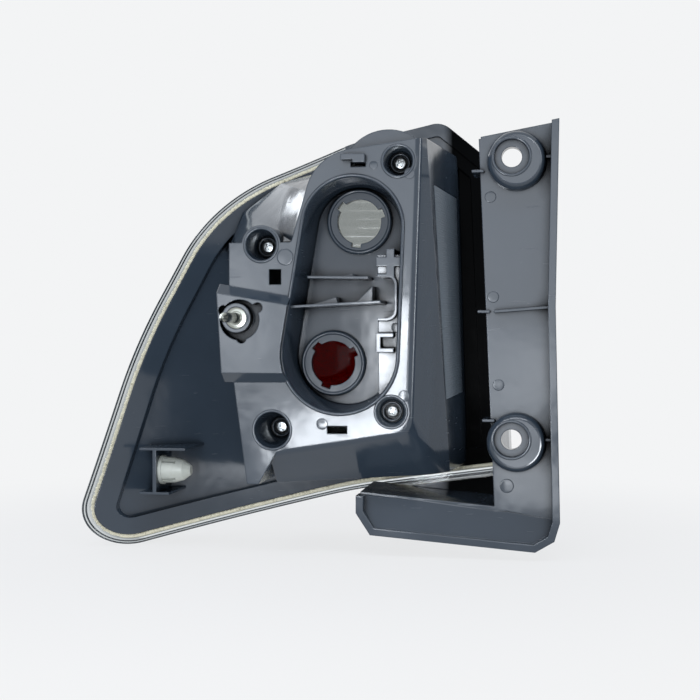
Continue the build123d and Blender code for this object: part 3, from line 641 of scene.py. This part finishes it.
# Screw pockets and bolt bosses, in millimetres: place and radius of each rounded rim
POCKET_RIMS = [
    ((-68.8, -16.0, 84.4), 9.9),
    ((-73.1, -16.0, -70.1), 9.9),
    ((-155.3, -16.0, 33.8), 10.6),
    ((-148.3, -16.0, -82.2), 12.1),
]
SEAT_RIMS = [
    ((-68.8, -4.6, 84.4), 5.7),
    ((-73.1, -9.6, -70.1), 5.7),
    ((-155.3, 3.4, 33.8), 5.7),
    ((-148.3, 11.4, -82.2), 5.7),
]
BOLT_RIMS = [((0.0, -3.0, 87.5), 11.6), ((0.0, -3.0, -87.5), 11.6)]
BOSSES = [(3.0, 6.0, 85.5), (3.0, 6.0, -89.5)]
BOSS_SHOULDER = [
    (18.5, -0.2), (18.4, 3.0), (18.1, 5.2), (17.4, 7.1), (16.4, 8.5),
    (15.4, 9.15), (14.6, 9.0), (14.8, 8.0), (16.0, 0.0),
]

# Sections of the rounded rims, in millimetres: half the width, and the height
POCKET_SECTION = (0.9, 0.7)
SEAT_SECTION = (0.7, 0.8)
BOLT_SECTION = (0.9, 0.6)

# Foot of a rounded lip: its share of the lip's width, and how far it is sunk, in millimetres
FOOT_SHARE = 0.9
FOOT_SINK = 0.2


def half_round(middle, half_width, height):
    """Section of a lip: half an ellipse, r = R + w cos(a), h = H sin(a), closed a little below its foot."""
    sweep = np.linspace(0, np.pi, 11)
    across = np.concatenate([np.cos(sweep), [-FOOT_SHARE, FOOT_SHARE]])
    rise = np.concatenate([height * np.sin(sweep), [-FOOT_SINK, -FOOT_SINK]])
    return (middle + half_width * across)[:, None], rise[:, None]


def rim_surfaces(rims, half_width, height):
    """Rounded circular lips, one for each rim."""
    return np.stack([turned(*half_round(size, half_width, height), place, turns=72) for place, size in rims])


def bay_lip_surface():
    """Rounded lip along the bay's mouth: a half-round section on two arcs joined by their outer tangents."""
    steps = 60
    (upper, upper_r), (lower, lower_r) = BAY_ENDS
    step = np.array(upper) - np.array(lower)
    lean = np.arctan2(step[1], step[0])
    reach = np.arccos((lower_r - upper_r) / np.hypot(*step))
    over = np.linspace(lean - reach, lean + reach, steps)
    under = np.linspace(lean + reach, lean - reach + 2 * np.pi, steps)
    angle = np.concatenate([over, under])
    end = np.repeat([0, 1], steps)
    centre = np.array([upper, lower])[end]
    base_r = np.array([upper_r, lower_r])[end]
    offset, height = half_round(0.0, LIP_HALF_W, LIP_H)
    x = centre[:, 0] + (base_r + offset) * np.cos(angle)
    z = centre[:, 1] + (base_r + offset) * np.sin(angle)
    return np.stack([x, np.broadcast_to(PLATEAU_Y - height, x.shape), z], axis=-1)[None]


def mark_surfaces(marks, height_mm):
    """Low flat discs with a rounded edge, one for each mark."""
    radius, height = MARK_PROFILE.T[:, :, None]
    return np.stack([turned(size * radius, height_mm * height, place) for place, size in marks])


def rib_surface(pitch_mm, height_mm):
    """Ribbed patch: points run between the four corners, and rise from the wall by H |sin| of the way down.

    The border is sunk into the wall, where a flat back closes the patch.
    """
    top_near, top_far, low_far, low_near = RIB_CORNERS
    count = int(round(np.linalg.norm(low_near - top_near) / pitch_mm))
    down = np.linspace(0, 1, 6 * count + 1)[:, None, None]
    across = np.array([0.0, 0.01, 0.5, 0.99, 1.0])[None, :, None]
    sheet = (1 - down) * ((1 - across) * top_near + across * top_far) + down * (
        (1 - across) * low_near + across * low_far
    )
    inside = (across > 0) & (across < 1) & (down > 0) & (down < 1)
    rise = np.where(inside, height_mm * np.abs(np.sin(np.pi * count * down)), -RIB_SINK)
    return np.stack([sheet + rise * RIB_WALL, sheet - RIB_SINK * RIB_WALL])


class LAMP_OT_dress_mouldings(bpy.types.Operator):
    """Rounds the housing's and the bracket's edges, gives them their plastic and adds their moulded marks"""

    bl_idname = "lamp.dress_mouldings"
    bl_label = "Dress mouldings"

    def execute(self, context):
        settings = context.scene.lamp_mouldings
        colour, roughness = settings.colour, settings.roughness
        plastic = moulded_abs("ABS_moulded_dark_grey", colour, roughness, settings.edge_radius)
        for name in ("housing", "mounting_bracket"):
            round_edges(name, settings.edge_radius)
            finish_node(name, plastic)

        detail = moulded_abs("ABS_moulded_fine_detail", colour, roughness, FINE_EDGE_R * MM)
        mark_height = settings.mark_height / MM
        for name, marks, slot in (
            ("housing_marks", HOUSING_MARKS, "housing_plastic"),
            ("bracket_marks", BRACKET_MARKS, "bracket_plastic"),
        ):
            surface(name, mark_surfaces(marks, mark_height), detail, wrap_columns=True)

        seats = [(seat, COLLAR_R) for seat in BULB_SEATS]
        collars = rim_surfaces(seats, COLLAR_HALF_W, settings.collar_height / MM)
        shoulders = np.stack([turned(*profile(BOSS_SHOULDER), boss, turns=96) for boss in BOSSES])
        for name, points, slot in (
            ("bulb_seat_collars", collars, "housing_plastic"),
            ("bay_lip", bay_lip_surface(), "housing_plastic"),
            ("pocket_rims", rim_surfaces(POCKET_RIMS, *POCKET_SECTION), "housing_plastic"),
            ("screw_seat_rims", rim_surfaces(SEAT_RIMS, *SEAT_SECTION), "housing_plastic"),
            ("bolt_seat_rims", rim_surfaces(BOLT_RIMS, *BOLT_SECTION), "bracket_plastic"),
            ("boss_shoulders", shoulders, "bracket_plastic"),
        ):
            surface(name, points, detail, wrap_rows=True, wrap_columns=True)

        # The ribbed patch takes the lighter plastic, painted light on the side wall
        colour, roughness = settings.rib_painted_light_colour, settings.rib_roughness
        ribbed = moulded_abs("ABS_moulded_ribbed", colour, roughness, FINE_EDGE_R * MM)
        ribs = rib_surface(settings.rib_pitch / MM, settings.rib_height / MM)
        surface("side_wall_ribs", ribs, ribbed)
        return {"FINISHED"}


class LAMP_OT_dress_lenses(bpy.types.Operator):
    """Gives the lenses and the bezel their finishes"""

    bl_idname = "lamp.dress_lenses"
    bl_label = "Dress lenses"

    def execute(self, context):
        settings = context.scene.lamp_lenses
        clear = clear_wall("acrylic_moulded_clear", settings.clear, settings.edge, settings.clear_shine)
        finish_node("outer_lens", clear)
        fluted = moulded_acrylic("acrylic_moulded_fluted", settings.fluted, settings.fluted_roughness)
        finish_node("signal_inner_lens", fluted)
        deep_red = shade(settings.red, 0.4)
        red = clear_wall("acrylic_moulded_red", settings.red, deep_red, settings.red_shine, settings.red_body)
        finish_node("stop_inner_lens", red)
        chrome = metal_film("trim_chrome_plated", settings.chrome, settings.chrome_roughness, CHROME_PATCH)
        surface("lamp_trim_rings", trim_ring_surfaces(), chrome, True, True)
        metal, roughness = settings.metal, settings.metal_roughness
        film = metal_film("aluminium_vacuum_metallised", metal, roughness, BEZEL_PATCH)
        finish_node("reflector_bezel", film)
        deep_edge = shade(settings.edge, 0.3)
        rim = clear_wall("acrylic_moulded_edge", settings.edge, deep_edge, settings.clear_shine)
        surface("lens_skirt_edges", skirt_edge_surfaces(), rim, True, True)
        return {"FINISHED"}


def lamp_outline(samples):
    """Even points round the lamp's outline, straight runs joined by arcs, and the outward way at each."""
    corner, radius = LENS_CORNERS[:, :2], LENS_CORNERS[:, 2:]
    back, ahead = np.roll(corner, 1, axis=0) - corner, np.roll(corner, -1, axis=0) - corner
    back /= np.linalg.norm(back, axis=1, keepdims=True)
    ahead /= np.linalg.norm(ahead, axis=1, keepdims=True)
    half = np.arccos(np.sum(back * ahead, axis=1, keepdims=True)) / 2
    to_centre = (back + ahead) / np.linalg.norm(back + ahead, axis=1, keepdims=True)
    centre = corner + to_centre * radius / np.sin(half)
    bend = np.linspace(-1, 1, 41)[None, :, None] * (np.pi / 2 - half)[:, None]
    side = (ahead - back) / np.linalg.norm(ahead - back, axis=1, keepdims=True)
    spoke = np.sin(bend) * side[:, None] - np.cos(bend) * to_centre[:, None]
    arcs = centre[:, None] + radius[:, None] * spoke
    path = arcs.reshape(-1, 2)
    path = np.concatenate([path, path[:1]])
    run = np.concatenate([[0.0], np.cumsum(np.linalg.norm(np.diff(path, axis=0), axis=1))])
    even = np.linspace(0, run[-1], samples, endpoint=False)
    points = np.stack([np.interp(even, run, path[:, 0]), np.interp(even, run, path[:, 1])], axis=1)
    along = np.roll(points, -1, axis=0) - np.roll(points, 1, axis=0)
    along /= np.linalg.norm(along, axis=1, keepdims=True)
    return points, np.stack([-along[:, 1], along[:, 0]], axis=1)


def skin_y(x, depth):
    """Y of the lit face at a depth under its skin: flat, then an arc from where the face starts to wrap."""
    reach = np.minimum(x - WRAP_START_X, 0.0)
    return REAR_Y - WRAP_R + np.sqrt((WRAP_R - depth) ** 2 - reach**2)


def bead_surface(settings):
    """Bead carried round the outline: a rounded box section whose top and sides swell with a sum of waves."""
    samples, around, wave_count = 1500, 20, 24
    points, out = lamp_outline(samples)
    turn = np.linspace(0, 2 * np.pi, around, endpoint=False)
    box_x = np.sign(np.cos(turn)) * np.abs(np.cos(turn)) ** 0.5
    box_y = np.sign(np.sin(turn)) * np.abs(np.sin(turn)) ** 0.5
    draw = np.random.default_rng(7)
    waves = draw.integers(20, 420, wave_count)
    phase = draw.uniform(0, 2 * np.pi, wave_count)
    twist = draw.integers(0, 3, wave_count)
    run = np.linspace(0, 2 * np.pi, samples, endpoint=False)
    ripples = np.sin(run[:, None, None] * waves + turn[None, :, None] * twist + phase)
    swell = ripples.sum(axis=2) / wave_count**0.5
    half_w, half_h = settings.width / MM / 2, settings.height / MM / 2
    lump = settings.lump / MM * swell
    inset = settings.inset / MM + box_x * half_w + 0.3 * lump * box_x
    depth = settings.depth / MM - half_h + box_y * half_h + np.where(box_y > 0, 0.6 * lump, 0.0)
    flat = points[:, None] - inset[:, :, None] * out[:, None]
    return np.stack([flat[:, :, 0], skin_y(flat[:, :, 0], depth), flat[:, :, 1]], axis=-1)[None]


def trim_ring_surfaces():
    """Trim rings on the bezel: a half-round section carried round a circle, laid on the curved lit face."""
    angle = np.linspace(0, 2 * np.pi, 120, endpoint=False)
    rings = []
    for x, z, size in TRIM_RINGS:
        radius, rise = half_round(size, TRIM_HALF_W, TRIM_RISE)
        across = x + radius * np.cos(angle)
        up = z + radius * np.sin(angle)
        rings.append(np.stack([across, skin_y(across, BEZEL_DEPTH - rise), up], axis=-1))
    return np.stack(rings)


def skirt_edge_surfaces():
    """Rounded edges of the lens skirt: a circle of set radius carried round the outline at two insets."""
    points, out = lamp_outline(900)
    turn = np.linspace(0, 2 * np.pi, 10, endpoint=False)
    edges = []
    for inset in SKIRT_EDGES:
        flat = points[:, None] - (inset + SKIRT_EDGE_R * np.cos(turn))[None, :, None] * out[:, None]
        depth = SKIRT_DEPTH - SKIRT_EDGE_R + SKIRT_EDGE_R * np.sin(turn)
        edges.append(np.stack([flat[:, :, 0], skin_y(flat[:, :, 0], depth), flat[:, :, 1]], axis=-1))
    return np.stack(edges)


class LAMP_OT_run_bead(bpy.types.Operator):
    """Runs the hot-melt bead round the lens in place of its plain solid"""

    bl_idname = "lamp.run_bead"
    bl_label = "Run bead"

    def execute(self, context):
        settings = context.scene.lamp_bead
        melt = hot_melt("butyl_hot_melt_cream", settings.colour, settings.speck)
        bead = surface("sealant_bead", bead_surface(settings), melt, True, True)
        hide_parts("lens_sealant")
        return {"FINISHED"}


# Screws, in millimetres: place of each seat, then the head with its rounded edge, the shank and its point
SCREW_SEATS = [(-68.8, -2.0, 84.4), (-73.1, -7.0, -70.1), (-155.3, 6.0, 33.8), (-148.3, 14.0, -82.2)]
SCREW_HEAD_R = 3.6
SCREW_HEAD_H = 2.4
HEAD_DOME = 0.04
HEAD_EDGE = 0.5
SCREW_R = 1.9
SCREW_L = 14.0
SCREW_POINT_L = 1.5

# Cross in each screw head, in millimetres: its arms, the run of the slopes at their sides and ends,
# and its turn as a share of a quarter turn
CROSS_HALF_W = 0.55
CROSS_REACH = 2.3
CROSS_SIDE = 0.2
CROSS_END = 0.5
CROSS_TURN = 0.2

# Stud, in millimetres: place of its flange's near face, then its outline from the tip to the far face
STUD_SEAT = (-169.4, -24.0, -12.0)
STUD_OUTLINE = [
    (0.0, 33.0), (0.5, 32.8), (1.0, 32.0), (2.4, 28.8), (2.8, 28.2), (3.0, 27.5), (3.0, 9.0),
    (2.7, 8.6), (2.7, 7.2), (3.0, 6.8), (3.0, 1.2), (3.3, 0.5), (4.0, 0.1), (4.6, 0.0),
    (6.3, 0.0), (6.65, -0.15), (6.8, -0.5), (6.8, -2.6), (6.4, -3.0), (0.0, -3.0),
]


def screw_surfaces(recess_mm):
    """Pan-head screws: a dome, h = H - b r^2, less a cross, then the edge, the shank and a short point.

    The cross is cut to its full depth within a set distance of the nearer arm's middle line.
    """
    turns = 64
    angle = np.linspace(0, 2 * np.pi, turns, endpoint=False)
    from_arm = np.abs((angle / (np.pi / 2) + CROSS_TURN) % 1 - 0.5) * np.pi / 2
    top_r = np.linspace(0, SCREW_HEAD_R - HEAD_EDGE, 18)[:, None]
    off_arm = top_r * np.sin(from_arm)
    beside_arm = np.clip((CROSS_HALF_W - off_arm) / CROSS_SIDE + 0.5, 0, 1)
    cross = beside_arm * np.clip((CROSS_REACH - top_r) / CROSS_END, 0, 1)
    top_h = SCREW_HEAD_H - HEAD_DOME * top_r**2 - recess_mm * cross
    lower = np.array([
        (SCREW_HEAD_R - 0.2, SCREW_HEAD_H - 0.75),
        (SCREW_HEAD_R, SCREW_HEAD_H - 1.2),
        (SCREW_HEAD_R, 0.0),
        (SCREW_R, 0.0),
        (SCREW_R, -SCREW_L + SCREW_POINT_L),
        (0.0, -SCREW_L),
    ])
    radius = np.concatenate([np.broadcast_to(top_r, top_h.shape), np.repeat(lower[:, :1], turns, axis=1)])
    height = np.concatenate([top_h, np.repeat(lower[:, 1:], turns, axis=1)])
    return np.stack([turned(radius, height, seat, turns=turns) for seat in SCREW_SEATS])


class LAMP_OT_fit_hardware(bpy.types.Operator):
    """Fits the screws and the stud in place of their plain solids and gives the push clip its nylon"""

    bl_idname = "lamp.fit_hardware"
    bl_label = "Fit hardware"

    def execute(self, context):
        settings = context.scene.lamp_hardware
        steel = metal_film("steel_screw_plated", settings.steel, settings.steel_roughness, PLATE_PATCH)
        screw_points = screw_surfaces(settings.recess / MM)
        screws = surface("cross_head_screws", screw_points, steel, False, True)
        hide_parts("housing_screws")
        zinc = metal_film("steel_zinc_plated", settings.zinc, settings.zinc_roughness, PLATE_PATCH)
        stud_points = turned(*profile(STUD_OUTLINE), STUD_SEAT, turns=64)[None]
        stud = surface("plated_stud", stud_points, zinc, False, True)
        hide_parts("locating_stud")
        finish_node("retainer_clip", natural_nylon("nylon_moulded_natural", settings.nylon))
        return {"FINISHED"}


def softbox(name, place, aim, size, radiance, colour):
    """Rectangular lamp that faces a point; its power is radiance times area times pi."""
    light = bpy.data.lights.new(name, "AREA")
    light.shape = "RECTANGLE"
    light.size, light.size_y = size
    light.energy = radiance * size[0] * size[1] * math.pi
    light.color = colour[:3]
    lamp = bpy.data.objects.new(name, light)
    lamp.location = place
    way = lamp.location.copy()
    way.x, way.y, way.z = (a - b for a, b in zip(aim, place))
    lamp.rotation_euler = way.to_track_quat("-Z", "Y").to_euler()
    lamp.visible_camera = False
    bpy.context.scene.collection.objects.link(lamp)
    return lamp


# Softboxes: place, point that it faces, width and height, and brightness beside the backdrop's
SOFTBOXES = {
    "softbox_front": ((-0.215, -1.0, 0.085), (-0.215, 0.0, 0.085), (0.67, 0.43), 2.5),
    "softbox_low": ((-0.192, -0.5, -0.126), (-0.11, 0.0, -0.085), (0.115, 0.05), 26.0),
    "softbox_ledge": ((-0.137, -0.5, -0.06), (-0.07, 0.0, -0.02), (0.045, 0.15), 30.0),
    "softbox_low_right": ((-0.01, -0.5, -0.09), (0.0, 0.0, -0.06), (0.08, 0.12), 3.2),
    "softbox_corner": ((0.004, -0.2, -0.139), (0.004, 0.0, -0.139), (0.052, 0.04), 4.6),
    "softbox_left": ((-0.43, -1.0, 0.0), (-0.15, 0.0, 0.0), (0.1, 0.2), 3.4),
    "softbox_behind": ((-0.8, 0.6, 0.8), (-0.15, 0.0, 0.0), (0.7, 0.7), 1.0),
    "softbox_lit_side": ((-0.95, 0.75, 0.15), (-0.15, 0.1, 0.0), (0.2, 0.7), 6.0),
    "strip_top": ((-0.1, -0.35, 0.7), (-0.1, 0.0, 0.0), (1.0, 0.1), 11.0),
    "strip_right": ((0.9, -0.16, 0.1), (-0.05, 0.0, 0.0), (0.1, 0.5), 14.0),
    "card_in_gap": ((-0.023, 0.042, 0.0), (-0.1, 0.042, 0.0), (0.07, 0.2), 0.6),
}

# Paper floor: half its side, the spot under the lamp, the distances from there over which shadows fade out,
# and the paper's own brightness there; then the brightness of the room
FLOOR_REACH = 3.0
FLOOR_SPOT = (-0.13, 0.05)
FLOOR_FADE = (0.15, 0.48)
FLOOR_GLOW = 0.84
ROOM_GLOW = 0.95


class LAMP_OT_light_stage(bpy.types.Operator):
    """Sets the floor, the white world, the softboxes and the camera"""

    bl_idname = "lamp.light_stage"
    bl_label = "Light stage"

    def execute(self, context):
        settings = context.scene.lamp_stage
        scene = context.scene
        floor_z = CAD_BOX[0][2]

        paper, tree, place = new_material("paper_white_sweep")
        away = add(tree, "VectorMath", {0: place, 1: (*FLOOR_SPOT, floor_z)}, operation="DISTANCE")
        fade = add(
            tree,
            "MapRange",
            {"Value": away.outputs["Value"], "From Min": FLOOR_FADE[0], "From Max": FLOOR_FADE[1]},
            interpolation_type="SMOOTHSTEP",
        )
        near = add(
            tree,
            "BsdfPrincipled",
            {"Base Color": linear("#505052"), "Roughness": 0.9, "Specular IOR Level": 0.0,
             "Emission Color": settings.paper, "Emission Strength": FLOOR_GLOW},
        )
        far = add(tree, "Emission", {"Color": settings.paper, "Strength": 1.0})
        lit_paper = add(tree, "MixShader", {0: fade.outputs[0], 1: near.outputs[0], 2: far.outputs[0]})
        close_material(tree, lit_paper)
        corners = FLOOR_REACH * np.array([[-1, -1, 0], [1, -1, 0], [1, 1, 0], [-1, 1, 0]])
        corners[:, 2] = floor_z
        sheet = bpy.data.meshes.new("floor")
        sheet.from_pydata(corners.tolist(), [], [(0, 1, 2, 3)])
        sheet.materials.append(paper)
        floor = bpy.data.objects.new("floor", sheet)
        scene.collection.objects.link(floor)

        world = bpy.data.worlds.new("white room")
        world.use_nodes = True
        tree = world.node_tree
        tree.nodes.clear()
        path = add(tree, "LightPath")
        seen = add(
            tree,
            "Math",
            {0: path.outputs["Is Camera Ray"], 1: path.outputs["Is Glossy Ray"]},
            operation="MAXIMUM",
        )
        shown = add(
            tree,
            "Math",
            {0: seen.outputs[0], 1: path.outputs["Is Transmission Ray"]},
            operation="MAXIMUM",
        )
        room = add(tree, "Background", {"Color": linear("#e2e5ea"), "Strength": ROOM_GLOW})
        white = add(tree, "Background", {"Color": settings.paper, "Strength": 1.0})
        mixed = add(tree, "MixShader", {0: shown.outputs[0], 1: room.outputs[0], 2: white.outputs[0]})
        add(tree, "OutputWorld", {"Surface": mixed.outputs[0]})
        scene.world = world

        for name, (place, aim, size, radiance) in SOFTBOXES.items():
            lamp = softbox(name, place, aim, size, radiance, settings.light)
            # The corner softbox stands low over the paper, so it gives gloss only and leaves the paper even
            lamp.visible_diffuse = name != "softbox_corner"

        lens = bpy.data.cameras.new("camera")
        lens.lens = settings.focal_mm
        lens.sensor_width = 36.0
        camera = bpy.data.objects.new("camera", lens)
        camera.location = settings.camera_place
        camera.rotation_euler = settings.camera_turn
        scene.collection.objects.link(camera)
        scene.camera = camera
        scene.view_settings.view_transform = "Standard"
        return {"FINISHED"}


class LAMP_PT_panel(bpy.types.Panel):
    """Lists the steps that dress the lamp"""

    bl_idname = "LAMP_PT_panel"
    bl_label = "Tail lamp"
    bl_space_type = "VIEW_3D"
    bl_region_type = "UI"
    bl_category = "Tail lamp"

    def draw(self, context):
        for operator in OPERATORS:
            self.layout.operator(operator.bl_idname)


SETTINGS = {
    "lamp_mouldings": MouldingSettings,
    "lamp_lenses": LensSettings,
    "lamp_bead": BeadSettings,
    "lamp_hardware": HardwareSettings,
    "lamp_stage": StageSettings,
}
OPERATORS = (
    LAMP_OT_dress_mouldings,
    LAMP_OT_dress_lenses,
    LAMP_OT_run_bead,
    LAMP_OT_fit_hardware,
    LAMP_OT_light_stage,
)


def register():
    for name, group in SETTINGS.items():
        bpy.utils.register_class(group)
        setattr(bpy.types.Scene, name, PointerProperty(type=group))
    for operator in OPERATORS:
        bpy.utils.register_class(operator)
    bpy.utils.register_class(LAMP_PT_panel)


def unregister():
    bpy.utils.unregister_class(LAMP_PT_panel)
    for operator in reversed(OPERATORS):
        bpy.utils.unregister_class(operator)
    for name, group in reversed(SETTINGS.items()):
        delattr(bpy.types.Scene, name)
        bpy.utils.unregister_class(group)


def main():
    register()
    bpy.ops.lamp.dress_mouldings()
    bpy.ops.lamp.dress_lenses()
    bpy.ops.lamp.run_bead()
    bpy.ops.lamp.fit_hardware()
    bpy.ops.lamp.light_stage()


if __name__ == "__main__":
    main()
